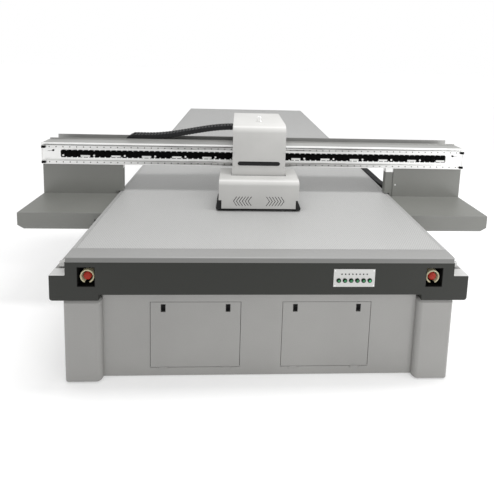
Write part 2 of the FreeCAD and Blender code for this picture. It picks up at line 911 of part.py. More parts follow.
def upper_cover():
    half = carriage_width / 2
    top = table_top + carriage_top
    bottom = table_top + carriage_bottom
    rear_bottom = table_top + carriage_rear_bottom
    step_y = carriage_plate_y + plate_to_beam + 5
    form = prism_x([(carriage_front, bottom), (step_y, bottom), (step_y, rear_bottom),
                    (carriage_rear, rear_bottom), (carriage_rear, top), (carriage_front, top)],
                   -half, half)
    form = rounded(form, carriage_round, lambda e: runs_along(e, Vec(1, 0, 0))
                   and abs(e.CenterOfMass.y - carriage_front) < 1
                   and abs(e.CenterOfMass.z - top) < 1)
    inner = box(-half + sheet, half - sheet, carriage_front + sheet, carriage_rear - sheet,
                bottom - 1, top - sheet)
    inner = rounded(inner, carriage_round - sheet, lambda e: runs_along(e, Vec(1, 0, 0))
                    and abs(e.CenterOfMass.y - carriage_front - sheet) < 1
                    and abs(e.CenterOfMass.z - top + sheet) < 1)
    cover = form.cut(inner)
    z = table_top + window_centre
    end = window_height / 2
    straight = window_length / 2 - end
    slot = box(-straight, straight, carriage_front - 1, carriage_front + sheet + 1, z - end,
               z + end)
    for x in (-straight, straight):
        slot = slot.fuse(rod(x, carriage_front - 1, z, end, sheet + 2, Vec(0, 1, 0)))
    y0, y1 = x_chain_lane()
    chain_z = x_chain_z()[2] + x_chain_rise
    entry = box(-half - 1, -half + sheet + 1, y0 - 8, y1 - 1 + 8, chain_z - 34, chain_z + 34)
    return cover.cut(slot).cut(entry)


def lifting_hook():
    """A round-bar loop on two feet."""
    z = table_top + carriage_top
    y = carriage_plate_y
    bar = 5.0
    span = 14.0
    rise = 34.0
    loop = Part.makeTorus(span, bar, Vec(0, y, z + rise), Vec(0, 1, 0))
    loop = loop.common(box(-40, 40, y - 20, y + 20, z + rise, z + rise + 40))
    pieces = [loop]
    for x in (-span, span):
        pieces.append(rod(x, y, z, bar, rise, Vec(0, 0, 1)))
        pieces.append(rod(x, y, z, 10, 5, Vec(0, 0, 1)))
    return joined(pieces)


def carriage_plate():
    y0 = carriage_plate_y
    y1 = y0 + plate_to_beam
    plate = box(-190, 190, y0, y1, table_top + 262, beam_top + 22)
    arm = box(-150, 150, y0, carriage_rear - sheet, beam_top + 26 - 6, beam_top + 34)
    risers = [box(x - 6, x + 6, y0 + 40, carriage_rear - sheet, beam_top + 34,
                  table_top + carriage_top - sheet) for x in (-140.0, 140.0)]
    y2, y3 = x_chain_lane()
    chain_z = x_chain_z()[2] + x_chain_rise
    clamp = box(-carriage_width / 2 - 9, -134, y2 + 4, y3 - 4, chain_z - 6, chain_z + 6)
    half = carriage_width / 2 - sheet
    tie = box(-half, half, y0 + 2, y1 - 2, beam_top + 34, beam_top + 46)
    return joined([plate, arm, clamp, tie] + risers)


def x_blocks():
    blocks = []
    y0 = carriage_plate_y + plate_to_beam
    for height in (x_rail_upper, x_rail_lower):
        z = table_top + height
        block = box(80, 180, y0, beam_front - 5, z - 20, z + 20)
        slot = box(0, 200, beam_front - x_rail_height - rail_gap, beam_front,
                   z - x_rail_width / 2 - rail_gap, z + x_rail_width / 2 + rail_gap)
        blocks += pair(block.cut(slot))
    return blocks


def x_forcer():
    z = table_top + magnet_centre
    return box(-170, 170, carriage_plate_y + plate_to_beam, beam_front - 11, z - 30, z + 30)


def lift_guide():
    """Two upright rails and a linear actuator on the front of the carriage plate."""
    y1 = carriage_plate_y
    rail = box(lift_rail_x - lift_rail_width / 2, lift_rail_x + lift_rail_width / 2,
               y1 - lift_rail_depth, y1, table_top + 275, table_top + 470)
    bottom = table_top + 440
    housing = box(-25, 25, y1 - 26, y1, bottom, bottom + 210)
    housing = housing.cut(rod(0, y1 - 13, bottom - 1, lift_rod_r + stem_clearance, 200,
                              Vec(0, 0, 1)))
    return pair(rail) + [housing]


# --- head unit ---

def lower_cover():
    half = head_width / 2
    top = table_top + head_top
    step = table_top + head_step_z
    low = table_top + head_bottom

    def form(inset):
        wide = half - inset
        slim = half - head_step - inset
        outline = [(-slim, low - 2 * inset), (slim, low - 2 * inset), (slim, step + inset),
                   (wide, step + inset), (wide, top - inset), (-wide, top - inset),
                   (-wide, step + inset), (-slim, step + inset)]
        rear = head_rear - inset
        block = prism_y(outline, head_front + inset, rear)
        return rounded(block, head_round - inset, lambda e: runs_along(e, Vec(1, 0, 0))
                       and abs(e.CenterOfMass.y - head_front - inset) < 1
                       and abs(e.CenterOfMass.z - top + inset) < 1)

    cover = form(0).cut(form(sheet))
    sleeve = carriage_width / 2 + sleeve_gap
    cover = cover.cut(box(-sleeve, sleeve, carriage_front - sleeve_gap, head_rear + 1,
                          top - sheet - 1, top + 1))
    cover = cover.cut(box(-sleeve, sleeve, head_rear - sheet - 1, head_rear + 1, low - 1,
                          top + 1))
    for slot in vents():
        cover = cover.cut(slot)
    return cover


def vents():
    """Two groups of chevron slots that point away from the middle."""
    slots = []
    z = table_top + vent_centre
    rise = vent_height / 2
    for i in range(vent_count):
        tip = -vent_tip + i * vent_pitch
        for up in (-1, 1):
            arm = prism_y([(tip, z), (tip + vent_slot, z),
                           (tip + vent_slot + vent_reach, z + up * rise),
                           (tip + vent_reach, z + up * rise)],
                          head_front - 1, head_front + sheet + 1)
            slots += pair(arm)
    return slots


def head_places():
    rows = (head_front + 22, head_front + 117)
    return [(x, y) for y in rows for x in (-165.0, -55.0, 55.0, 165.0)]


def head_plate():
    """The plate that holds the print heads, with a wider guard plate under the cover."""
    low = table_top + 14
    half = head_width / 2 - head_step - 6
    plate = box(-half, half, head_front + 8, head_rear - 4, low, low + 14)
    reach = head_width / 2 - head_step + guard_reach
    guard = box(-reach, reach, head_front - 6, head_rear + 12, low - 3, low + 4)
    guard = rounded(guard, guard_round, lambda e: runs_along(e, Vec(0, 0, 1)))
    plate = joined([plate, guard])
    for x, y in head_places():
        plate = plate.cut(box(x - head_cell_x / 2 - 0.5, x + head_cell_x / 2 + 0.5, y - 0.5,
                              y + head_cell_y + 0.5, low - 4, low + 15))
    return plate


def print_heads():
    heads = []
    low = table_top + 12
    for x, y in head_places():
        body = box(x - head_cell_x / 2, x + head_cell_x / 2, y, y + head_cell_y, low + 16,
                   low + 80)
        nozzle = box(x - head_cell_x / 2 + 4, x + head_cell_x / 2 - 4, y + 4,
                     y + head_cell_y - 4, low, low + 16)
        head = body.fuse(nozzle)
        if y > carriage_front:
            head = head.fuse(box(x - 22, x + 22, y + 6, y + 40, low + 80, low + 150))
        heads.append(head.removeSplitter())
    return heads


def uv_lamps():
    x0 = carriage_width / 2 + sleeve_gap + 2
    x1 = head_width / 2 - head_step - 8
    z0 = table_top + 28
    lamp = box(x0, x1, head_front + 30, head_rear - 20, z0, z0 + 120)
    fins = 8
    pitch = 24.0
    for i in range(fins):
        y = head_front + 48 + i * pitch
        lamp = lamp.cut(box(x0 - 1, x1 + 1, y, y + 9, z0 + 90, z0 + 121))
    return pair(lamp)


def lift_slide():
    """The head unit's back plate, its two rail blocks and the actuator's rod."""
    y1 = carriage_plate_y
    plate = box(-170, 170, y1 - 42, y1 - 28, table_top + 28, table_top + 350)
    z0 = table_top + 285
    block = box(lift_rail_x - 25, lift_rail_x + 25, y1 - 28, y1 - 3, z0, z0 + 60)
    slot = box(lift_rail_x - lift_rail_width / 2 - rail_gap,
               lift_rail_x + lift_rail_width / 2 + rail_gap, y1 - lift_rail_depth - rail_gap, y1,
               z0 - 1, z0 + 61)
    block = block.cut(slot)
    foot = box(-15, 15, y1 - 28, y1 - 4, table_top + 300, table_top + 345)
    ram = rod(0, y1 - 13, table_top + 345, lift_rod_r, 140, Vec(0, 0, 1))
    return joined([plate, block, mirrored(block), foot, ram])


save("frame_side_beams", *pair(side_beam()))
save("frame_crossmembers", *crossmembers())
save("levelling_feet", *levelling_feet())
save("front_band", front_band())
save("leg_covers", *leg_covers())
save("front_panel", front_panel())
save("side_panels", *pair(side_panel()))
save("rear_panel", *rear_panel())
save("power_inlet", power_inlet())
save("electronics_box", electronics_box())
save("ink_bottles", *ink_bottles())
save("vacuum_blower", *vacuum_blower())
save("table_border", table_border())
save("vacuum_bed", vacuum_bed())
save("vacuum_plenum", vacuum_plenum())
save("y_rails", *y_rails())
save("y_magnet_tracks", *y_magnet_tracks())
save("y_chain_channel", y_chain_channel())
save("y_chain_lower", y_chain_lower())
save("stop_stations", *(stop_station(-stop_x) + stop_station(stop_x)))
save("control_plate", *control_plate())

save("gantry_uprights", *uprights())
save("beam", *beam())
save("x_rails", x_rail(x_rail_upper), x_rail(x_rail_lower))
save("x_rail_stops", *x_rail_stops())
save("x_magnet_track", x_magnet_track())
save("cable_trough", cable_trough())
save("side_shelves", mirrored(shelf(half_width - 28)), shelf(y_rail_x - 13))
save("y_bearing_blocks", *y_blocks())
save("y_forcers", *y_forcers())
save("x_chain_lower", x_chain_lower())
save("y_chain_upper", y_chain_upper())
save("x_chain_fold", x_chain_fold())
save("y_chain_fold", y_chain_fold())

save("carriage_plate", carriage_plate())
save("x_bearing_blocks", *x_blocks())
save("x_forcer", x_forcer())
save("upper_cover", upper_cover())
save("lifting_hook", lifting_hook())
save("lift_guide", *lift_guide())
save("x_chain_upper", x_chain_upper())

save("lower_cover", lower_cover())
save("head_plate", head_plate())
save("print_heads", *print_heads())
save("uv_lamps", *uv_lamps())
save("lift_slide", lift_slide())

for side, x in (("left", -1), ("right", 1)):
    save("stop_button_" + side, stop_button(x * stop_x))
    save("door_" + side, door(x * door_centre))
    for place, latch_x in zip(("a", "b"), latch_places(x * door_centre)):
        save("latch_" + side + "_" + place, latch(latch_x))
for number, x in enumerate(button_places(), 1):
    save("push_button_" + str(number), push_button(x))
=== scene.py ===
import json
import math

import bmesh
import bpy
from mathutils import Matrix, Vector


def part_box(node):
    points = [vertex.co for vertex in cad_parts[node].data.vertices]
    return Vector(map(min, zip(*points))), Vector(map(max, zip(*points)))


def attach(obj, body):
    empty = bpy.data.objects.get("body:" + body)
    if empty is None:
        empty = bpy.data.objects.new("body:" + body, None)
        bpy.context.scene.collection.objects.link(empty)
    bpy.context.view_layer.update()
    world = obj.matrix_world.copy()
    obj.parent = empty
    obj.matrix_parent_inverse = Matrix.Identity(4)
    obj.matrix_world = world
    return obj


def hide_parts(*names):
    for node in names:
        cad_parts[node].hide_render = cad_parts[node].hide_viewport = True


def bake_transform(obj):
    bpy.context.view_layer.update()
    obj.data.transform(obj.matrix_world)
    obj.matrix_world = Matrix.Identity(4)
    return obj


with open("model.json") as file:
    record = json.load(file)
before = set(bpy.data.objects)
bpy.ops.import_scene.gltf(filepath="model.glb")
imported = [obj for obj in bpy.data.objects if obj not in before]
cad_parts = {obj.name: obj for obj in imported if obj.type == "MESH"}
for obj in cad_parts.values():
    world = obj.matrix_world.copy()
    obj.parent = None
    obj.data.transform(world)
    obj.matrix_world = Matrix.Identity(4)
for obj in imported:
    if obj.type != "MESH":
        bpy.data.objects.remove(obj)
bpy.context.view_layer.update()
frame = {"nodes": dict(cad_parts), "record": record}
print("frame loaded:", len(frame["nodes"]), "nodes")


class Wire:
    # one socket of a node tree; sums and products on it add Math nodes
    def __init__(self, tree, socket=None):
        self.tree = tree
        self.socket = socket

    def node(self, kind, settings, inputs, out=0):
        made = self.tree.nodes.new("ShaderNode" + kind)
        for name, value in settings.items():
            setattr(made, name, value)
        for name, value in inputs.items():
            if isinstance(value, Wire):
                self.tree.links.new(value.socket, made.inputs[name])
            else:
                made.inputs[name].default_value = value
        return Wire(self.tree, made.outputs[out])

    def math(self, operation, first, second=0.0):
        return self.node("Math", {"operation": operation}, {0: first, 1: second})

    def __add__(self, other):
        return self.math("ADD", self, other)

    def __sub__(self, other):
        return self.math("SUBTRACT", self, other)

    def __rsub__(self, other):
        return self.math("SUBTRACT", other, self)

    def __mul__(self, other):
        return self.math("MULTIPLY", self, other)

    __radd__ = __add__
    __rmul__ = __mul__


def noiseAt(place, scale, detail=2.0):
    return place.node("TexNoise", {}, {"Vector": place, "Scale": scale, "Detail": detail})


def stretched(place, scale):
    return place.node("Mapping", {}, {"Vector": place, "Scale": scale})


def ramp(value, low, high):
    # 0 below low, 1 above high
    return value.node("MapRange", {}, {"Value": value, "From Min": low, "From Max": high})


def cloudAt(place, scale, detail=3.0, low=0.3, high=0.7):
    # soft patches from 0 to 1
    return ramp(noiseAt(place, scale, detail), low, high)


def partOf(place, axis):
    return place.node("SeparateXYZ", {}, {0: place}, "XYZ".index(axis))


def tint(factor, first, second):
    # first and second are plain colours or wires
    ends = [end if isinstance(end, Wire) else (*end, 1.0) for end in (first, second)]
    return factor.node("Mix", {"data_type": "RGBA"}, {0: factor, 6: ends[0], 7: ends[1]}, 2)


def shade(colour, amount):
    return tuple(min(1.0, channel * amount) for channel in colour)


def varied(factor, colour, spread):
    # the colour, darker and lighter by spread
    return tint(factor, shade(colour, 1.0 - spread), shade(colour, 1.0 + spread))


def bumped(height, strength, distance):
    return height.node("Bump", {}, {"Height": height, "Strength": strength, "Distance": distance})


def newFinish(name, build):
    material = bpy.data.materials.new(name)
    material.use_nodes = True
    tree = material.node_tree
    shader = tree.nodes["Principled BSDF"]
    wire = Wire(tree)
    place = wire.node("TexCoord", {}, {}, "Object")
    for socket, value in build(place).items():
        if isinstance(value, Wire):
            tree.links.new(value.socket, shader.inputs[socket])
        else:
            shader.inputs[socket].default_value = value
    return material


def powderCoat(colour, grain=150.0, roughness=0.5, depth=0.0004, speckle=0.5, sheen=0.5):
    # baked paint on sheet steel: fine grain, slight clouding, dust low down
    coat = {"spread": 0.14, "patches": 1.7, "shine": 0.08, "shineSpread": 0.12, "bump": 0.35}
    dust = {"colour": (0.24, 0.235, 0.22), "height": 0.22, "patches": 9.0, "amount": 0.3}

    def build(place):
        fine = noiseAt(place, grain, detail=3.0)
        cloud = cloudAt(place, coat["patches"], detail=4.0)
        mottle = fine * speckle + cloud * (1.0 - speckle)
        lowDown = 1.0 - ramp(partOf(place, "Z"), 0.0, dust["height"])
        dusty = lowDown * cloudAt(place, dust["patches"], detail=5.0, low=0.35, high=0.75)
        clean = varied(mottle, colour, coat["spread"])
        return {"Base Color": tint(dusty * dust["amount"], clean, dust["colour"]),
                "Roughness": roughness - coat["shine"] + cloud * coat["shineSpread"],
                "Specular IOR Level": sheen, "Normal": bumped(fine, coat["bump"], depth)}
    return build


def rolledMetal(colour, roughness=0.4, metallic=0.9, grain=(1.5, 160.0, 160.0)):
    # drawn or ground metal: long fine lines, patches of different polish
    metal = {"spread": 0.1, "patches": 3.1, "lineShare": 0.6, "shine": 0.07, "shineSpread": 0.14,
             "bump": 0.15, "depth": 0.0002}

    def build(place):
        lines = noiseAt(stretched(place, grain), scale=1.0, detail=4.0)
        patch = cloudAt(place, metal["patches"], low=0.25, high=0.75)
        tone = lines * metal["lineShare"] + patch * (1.0 - metal["lineShare"])
        return {"Base Color": varied(tone, colour, metal["spread"]), "Metallic": metallic,
                "Roughness": roughness - metal["shine"] + tone * metal["shineSpread"],
                "Normal": bumped(lines, metal["bump"], metal["depth"])}
    return build


def groundBorder(place):
    # ground plate: its front strip has painted shade that makes it duller than its long sides, and
    # its edge faces have the darkest painted shade
    # the front colour is the side tone with painted shade in it; the darkest colour is painted
    # shade for the vertical edge faces
    border = {"front": (0.275, 0.275, 0.27), "side": (0.35, 0.35, 0.345),
              "edgeShade": (0.085, 0.086, 0.08), "grain": (0.12, 0.12, 0.12), "frontStrip": 0.08,
              "edgeRound": 0.006, "softLine": 0.001, "edgeShadeAmount": 0.6, "grainScale": 60.0,
              "grainAmount": 0.1, "patches": 2.3, "patchAmount": 0.06, "metallic": 0.15,
              "roughness": 0.38, "shineSpread": 0.1, "bump": 0.15, "depth": 0.0002}
    low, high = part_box("table_border")
    strip = low.y + border["frontStrip"]
    edge = border["edgeRound"]
    # painted shade: the front strip takes the darker front colour
    sides = ramp(partOf(place, "Y"), strip - border["softLine"], strip)
    # painted shade on the edge faces, everything below the rounded rim of the top
    edgeShade = 1.0 - ramp(partOf(place, "Z"), high.z - edge, high.z - edge / 2)
    grain = noiseAt(place, border["grainScale"], detail=4.0)
    cloud = cloudAt(place, border["patches"])
    plain = tint(sides, border["front"], border["side"])
    marks = grain * border["grainAmount"] + cloud * border["patchAmount"]
    face = tint(marks, plain, border["grain"])
    return {"Base Color": tint(edgeShade * border["edgeShadeAmount"], face, border["edgeShade"]),
            "Metallic": border["metallic"],
            "Roughness": border["roughness"] + cloud * border["shineSpread"],
            "Normal": bumped(grain, border["bump"], border["depth"])}


def dotMask(place, pitch, radius, softness=(0.7, 1.2)):
    # staggered rows of round dots on X and Y: 1 inside a dot, fading across softness
    x, y = partOf(place, "X"), partOf(place, "Y")
    nearest = []
    for offset in (0.0, 0.5):
        across = (x.math("FRACT", x * (1.0 / pitch) + offset) - 0.5) * pitch
        along = (y.math("FRACT", y * (1.0 / pitch) + offset) - 0.5) * pitch
        nearest.append(x.math("SQRT", across * across + along * along))
    distance = x.math("MINIMUM", nearest[0], nearest[1])
    return 1.0 - ramp(distance, radius * softness[0], radius * softness[1])


def perforatedBed(place):
    # sanded aluminium with fine suction holes and a few rubbed patches
    bed = {"colour": (0.375, 0.375, 0.37), "spread": 0.05, "pitch": 0.016, "hole": 0.0021,
           "holeColour": (0.06, 0.06, 0.06), "holeAmount": 0.5, "sanding": (90.0, 3.0, 3.0),
           "sandingShare": 0.45, "patches": 1.1, "metallic": 0.1, "roughness": 0.4,
           "shineSpread": 0.08, "holeShine": 0.3, "bump": 0.4, "depth": 0.0006}
    dots = dotMask(place, bed["pitch"], bed["hole"])
    sanded = noiseAt(stretched(place, bed["sanding"]), scale=1.0, detail=4.0)
    cloud = cloudAt(place, bed["patches"], detail=4.0)
    mottle = sanded * bed["sandingShare"] + cloud * (1.0 - bed["sandingShare"])
    plain = varied(mottle, bed["colour"], bed["spread"])
    return {"Base Color": tint(dots * bed["holeAmount"], plain, bed["holeColour"]),
            "Metallic": bed["metallic"],
            "Roughness": bed["roughness"] + cloud * bed["shineSpread"] + dots * bed["holeShine"],
            "Normal": bumped(sanded * 0.1 - dots, bed["bump"], bed["depth"])}


def mouldedPlastic(colour, roughness=0.42, spread=0.12, sheen=0.5):
    # fine texture of the mould, soft patches of shine
    mould = {"texture": 420.0, "patches": 14.0, "textureShare": 0.3, "shine": 0.06,
             "shineSpread": 0.12, "bump": 0.2, "depth": 0.0003}

    def build(place):
        fine = noiseAt(place, mould["texture"])
        cloud = cloudAt(place, mould["patches"])
        mottle = fine * mould["textureShare"] + cloud * (1.0 - mould["textureShare"])
        return {"Base Color": varied(mottle, colour, spread),
                "Roughness": roughness - mould["shine"] + cloud * mould["shineSpread"],
                "Specular IOR Level": sheen,
                "Normal": bumped(fine, mould["bump"], mould["depth"])}
    return build


def railWithPaintedReflection(place):
    # ground guide rail, with a painted dark reflection in streaks over its middle stretch, fading
    # out towards its ends
    railFinish = {"colour": (0.72, 0.72, 0.71), "dark": (0.1, 0.097, 0.092), "clean": 1.75,
            "full": 0.5, "streaks": (4.0, 30.0, 300.0), "metallic": 0.9, "roughness": 0.26,
            "streakShine": 0.12, "darkShine": 0.05, "bump": 0.1, "depth": 0.0002}
    # the dark colour is a painted reflection; it is whole up to full metres from the middle and
    # gone at clean metres
    reach = 1.0 - ramp(place.math("ABSOLUTE", partOf(place, "X")), railFinish["full"], railFinish["clean"])
    streak = noiseAt(stretched(place, railFinish["streaks"]), scale=1.0, detail=4.0)
    dark = reach * ramp(streak, low=0.25, high=0.7)
    return {"Base Color": tint(dark, railFinish["colour"], railFinish["dark"]), "Metallic": railFinish["metallic"],
            "Roughness": (railFinish["roughness"] + streak * railFinish["streakShine"]
                          - dark * railFinish["darkShine"]),
            "Normal": bumped(streak, railFinish["bump"], railFinish["depth"])}


def studioFloor(place):
    floor = {"dark": (0.71, 0.71, 0.71), "light": (0.74, 0.74, 0.74), "patches": 0.6,
             "roughness": 0.7, "glow": (1.0, 1.0, 1.0, 1.0), "glowStrength": 0.27}
    cloud = cloudAt(place, floor["patches"])
    return {"Base Color": tint(cloud, floor["dark"], floor["light"]),
            "Roughness": floor["roughness"], "Emission Color": floor["glow"],
            "Emission Strength": floor["glowStrength"]}


finishes = {
    "body_paint": newFinish("satin grey coat", powderCoat((0.25, 0.247, 0.238))),
    "band_paint": newFinish("charcoal textured coat", powderCoat(
        (0.0225, 0.0235, 0.0205), grain=160.0, roughness=0.55, depth=0.0006, speckle=0.55,
        sheen=0.22)),
    "shelf_paint": newFinish("hammered grey coat", powderCoat(
        (0.158, 0.16, 0.148), grain=130.0, roughness=0.45, depth=0.0006, speckle=0.6)),
    "white_paint": newFinish("cover off-white coat", powderCoat(
        (0.43, 0.427, 0.415), grain=300.0, roughness=0.4, depth=0.0002, speckle=0.25)),
    "frame_paint": newFinish("frame grey coat", powderCoat((0.11, 0.11, 0.105), grain=300.0)),
    "black_paint": newFinish("black coat", powderCoat(
        (0.008, 0.008, 0.008), grain=300.0, speckle=0.3, sheen=0.1)),
    "table_metal": newFinish("ground table border", groundBorder),
    "bed_metal": newFinish("perforated bed", perforatedBed),
    "beam_metal": newFinish("extruded beam aluminium", rolledMetal(
        (0.82, 0.82, 0.81), roughness=0.36, metallic=0.6)),
    "plate_metal": newFinish("brushed control plate", rolledMetal(
        (0.5, 0.5, 0.49), roughness=0.42, metallic=0.2, grain=(4.0, 200.0, 400.0))),
    "bare_steel": newFinish("ground guide rail", railWithPaintedReflection),
    "cast_metal": newFinish("machined block steel", rolledMetal((0.4, 0.4, 0.39), roughness=0.42)),
    "hook_chrome": newFinish("plated hook", rolledMetal(
        (0.8, 0.8, 0.79), roughness=0.16, metallic=1.0, grain=(40.0, 40.0, 40.0))),
    "magnet_black": newFinish("magnet resin", mouldedPlastic(
        (0.0022, 0.0022, 0.0022), roughness=0.6, sheen=0.02)),
    "black_plastic": newFinish("black moulded plastic", mouldedPlastic(
        (0.004, 0.004, 0.004), roughness=0.5, sheen=0.06)),
    "chain_plastic": newFinish("drag chain plastic", mouldedPlastic(
        (0.014, 0.014, 0.015), roughness=0.55, sheen=0.2)),
    "bottle_plastic": newFinish("bottle plastic", mouldedPlastic(
        (0.55, 0.55, 0.53), roughness=0.35)),
    "red_plastic": newFinish("red moulded plastic", mouldedPlastic(
        (0.27, 0.014, 0.004), roughness=0.4, spread=0.2, sheen=0.2)),
    "green_plastic": newFinish("green moulded plastic", mouldedPlastic(
        (0.012, 0.14, 0.045), roughness=0.35)),
}
extras = {  # finishes of pieces that differ from their slot's own
    "cream": newFinish("cream guard plastic", mouldedPlastic(
        (0.5, 0.46, 0.3), roughness=0.45, spread=0.06)),
    "label": newFinish("blank label", mouldedPlastic(
        (0.6, 0.6, 0.59), roughness=0.5, spread=0.04)),
    "lit green": newFinish("lit green plastic", mouldedPlastic(
        (0.02, 0.33, 0.11), roughness=0.25)),
    # a dark sheet that stands for the shade inside the upper cover
    "shadePane": newFinish("dark shade pane", mouldedPlastic(
        (0.006, 0.006, 0.0065), roughness=0.2, sheen=0.2)),
    "alloy": newFinish("milled alloy", rolledMetal(
        (0.6, 0.6, 0.59), roughness=0.38, metallic=0.5, grain=(80.0, 80.0, 4.0))),
    "strip": newFinish("brushed cover strip", rolledMetal(
        (0.31, 0.31, 0.3), roughness=0.45, metallic=0.4)),
    "floor": newFinish("studio floor", studioFloor),
}
print("finishes made:", len(finishes) + len(extras))


def settled(bm, name, body, slot, material=None, standsFor=(), edge=0.0, sharp=38.0):
    # turns a bmesh into a piece that rides on a body; a piece given no body is left unattached
    bmesh.ops.recalc_face_normals(bm, faces=bm.faces)
    mesh = bpy.data.meshes.new(name)
    bm.to_mesh(mesh)
    bm.free()
    mesh.materials.append(material or finishes[slot])
    mesh.shade_smooth()
    mesh.set_sharp_from_angle(angle=math.radians(sharp))
    piece = bpy.data.objects.new(name, mesh)
    bpy.context.scene.collection.objects.link(piece)
    if edge:
        bevel = piece.modifiers.new("edges", "BEVEL")
        bevel.width = edge
        bevel.segments = 2
        bevel.limit_method = "ANGLE"
        bevel.angle_limit = math.radians(sharp)
        bevel.use_clamp_overlap = False
    normals = piece.modifiers.new("normals", "WEIGHTED_NORMAL")
    normals.keep_sharp = True
    if body:
        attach(piece, body)
    if standsFor:
        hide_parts(*standsFor)
    return piece


samePlace = 1e-6  # points nearer than this, in metres, count as one


def addBlock(bm, low, high, edge=0.0, segments=2):
    low, high = Vector(low), Vector(high)
    verts = bmesh.ops.create_cube(bm, size=1.0)["verts"]
    bmesh.ops.scale(bm, vec=high - low, verts=verts)
    bmesh.ops.translate(bm, vec=(low + high) / 2, verts=verts)
    if edge:
        edges = list({e for v in verts for e in v.link_edges})
        bmesh.ops.bevel(bm, geom=edges, offset=edge, offset_type="OFFSET", segments=segments,
                        profile=0.5, affect="EDGES", material=-1)


def facing(axis):
    # turns +Z to the named direction
    return Vector((0, 0, 1)).rotation_difference(Vector(axis)).to_matrix().to_4x4()


def addRod(bm, foot, axis, radius, length, edge=0.0, sides=16):
    # a rod from foot along axis, with its far rim rounded
    axis = Vector(axis).normalized()
    place = Matrix.Translation(foot) @ facing(axis) @ Matrix.Translation((0, 0, length / 2))
    made = bmesh.ops.create_cone(bm, cap_ends=True, segments=sides, radius1=radius,
                                 radius2=radius, depth=length, matrix=place)
    if edge:
        tip = Vector(foot) + axis * length
        far = {v for v in made["verts"] if abs((v.co - tip).dot(axis)) < samePlace}
        rim = [e for e in {e for v in far for e in v.link_edges}
               if all(v in far for v in e.verts)]
        bmesh.ops.bevel(bm, geom=rim, offset=edge, offset_type="OFFSET", segments=2, profile=0.5,
                        affect="EDGES", material=-1)


def addTurned(bm, outline, centre, axis, steps=32, angle=2 * math.pi, start=0.0):
    # outline is (radius, height) pairs, turned about the axis through centre
    verts = [bm.verts.new((radius, 0, height)) for radius, height in outline]
    edges = [bm.edges.new(ends) for ends in zip(verts, verts[1:])]
    if outline[0] != outline[-1] and outline[0][0] > 0:
        edges.append(bm.edges.new((verts[-1], verts[0])))
    bmesh.ops.rotate(bm, cent=(0, 0, 0), matrix=Matrix.Rotation(start, 3, "Z"), verts=verts)
    whole = abs(angle - 2 * math.pi) < samePlace
    before = set(bm.verts) - set(verts)
    bmesh.ops.spin(bm, geom=verts + edges, cent=(0, 0, 0), axis=(0, 0, 1), dvec=(0, 0, 0),
                   angle=angle, steps=steps, use_merge=whole, use_duplicate=False)
    made = [v for v in bm.verts if v not in before]
    bmesh.ops.remove_doubles(bm, verts=made, dist=samePlace)
    made = [v for v in bm.verts if v not in before]
    if not whole:
        holes = list({e for v in made for e in v.link_edges if e.is_boundary})
        bmesh.ops.holes_fill(bm, edges=holes, sides=0)
    bmesh.ops.transform(bm, matrix=Matrix.Translation(centre) @ facing(axis), verts=made)


bodyOf = {node: body for body, nodes in frame["record"]["behaviour"]["bodies"].items()
          for node in nodes}
slotOf = {part["node"]: part["material_slot"] for part in frame["record"]["subparts"]}
for node, slot in slotOf.items():
    mesh = frame["nodes"][node].data
    mesh.materials.clear()
    mesh.materials.append(finishes[slot])


def edged(node, width, material=None):
    # the node's own shape with its loose triangles joined and its sharp edges broken
    join = {"distance": 1e-5, "flatAngle": math.radians(0.6)}
    bm = bmesh.new()
    bm.from_mesh(frame["nodes"][node].data)
    bmesh.ops.remove_doubles(bm, verts=bm.verts, dist=join["distance"])
    bmesh.ops.dissolve_limit(bm, angle_limit=join["flatAngle"], verts=bm.verts, edges=bm.edges)
    settled(bm, node + "_shape", bodyOf[node], slotOf[node], material, (node,), width)


def makeCamera():
    view = {"place": (-0.193, -3.88, 2.17), "turn": -0.0317, "tilt": -0.0816, "roll": 0.027,
            "sensor": 36.0, "lens": 19.88, "shift": -0.349}
    data = bpy.data.cameras.new("camera")
    data.sensor_width = view["sensor"]
    data.lens = view["lens"]
    data.shift_y = view["shift"]
    camera = bpy.data.objects.new("camera", data)
    bpy.context.scene.collection.objects.link(camera)
    camera.matrix_world = (Matrix.Translation(view["place"]) @ Matrix.Rotation(view["turn"], 4, "Z")
                           @ Matrix.Rotation(math.pi / 2 + view["tilt"], 4, "X")
                           @ Matrix.Rotation(view["roll"], 4, "Z"))
    bpy.context.scene.camera = camera


def makeLight(name, place, target, size, power):
    data = bpy.data.lights.new(name, "AREA")
    data.shape = "RECTANGLE"
    data.size, data.size_y = size
    data.energy = power
    light = bpy.data.objects.new(name, data)
    bpy.context.scene.collection.objects.link(light)
    away = Vector(place) - Vector(target)
    turn = away.to_track_quat("Z", "Y").to_matrix().to_4x4()
    light.matrix_world = Matrix.Translation(place) @ turn


def makeStudio():
    studio = {"sky": 1.0, "floorSize": 60.0}
    lights = {  # place, target, size and power
        "overhead tube": ((0.2, -2.0, 3.9), (0.2, -1.99, 0.0), (3.0, 0.35), 65.0),
        "high side light": ((4.0, -2.2, 2.6), (0.0, -1.2, 0.85), (1.2, 1.2), 45.0),
        "low side light": ((4.2, -4.8, 1.5), (-1.1, -2.1, 0.4), (1.0, 1.0), 40.0),
    }
    for name, setting in lights.items():
        makeLight(name, *setting)
    world = bpy.data.worlds.new("studio sky")
    world.use_nodes = True
    sky = world.node_tree.nodes["Background"]
    sky.inputs["Color"].default_value = (1.0, 1.0, 1.0, 1.0)
    sky.inputs["Strength"].default_value = studio["sky"]
    bpy.context.scene.world = world
    bm = bmesh.new()
    bmesh.ops.create_grid(bm, x_segments=1, y_segments=1, size=studio["floorSize"] / 2)
    mesh = bpy.data.meshes.new("floor")
    bm.to_mesh(mesh)
    bm.free()
    mesh.materials.append(extras["floor"])
    floor = bpy.data.objects.new("floor", mesh)
    bpy.context.scene.collection.objects.link(floor)
    bpy.context.scene.view_settings.view_transform = "Standard"


makeCamera()
makeStudio()
print("camera and studio ready")

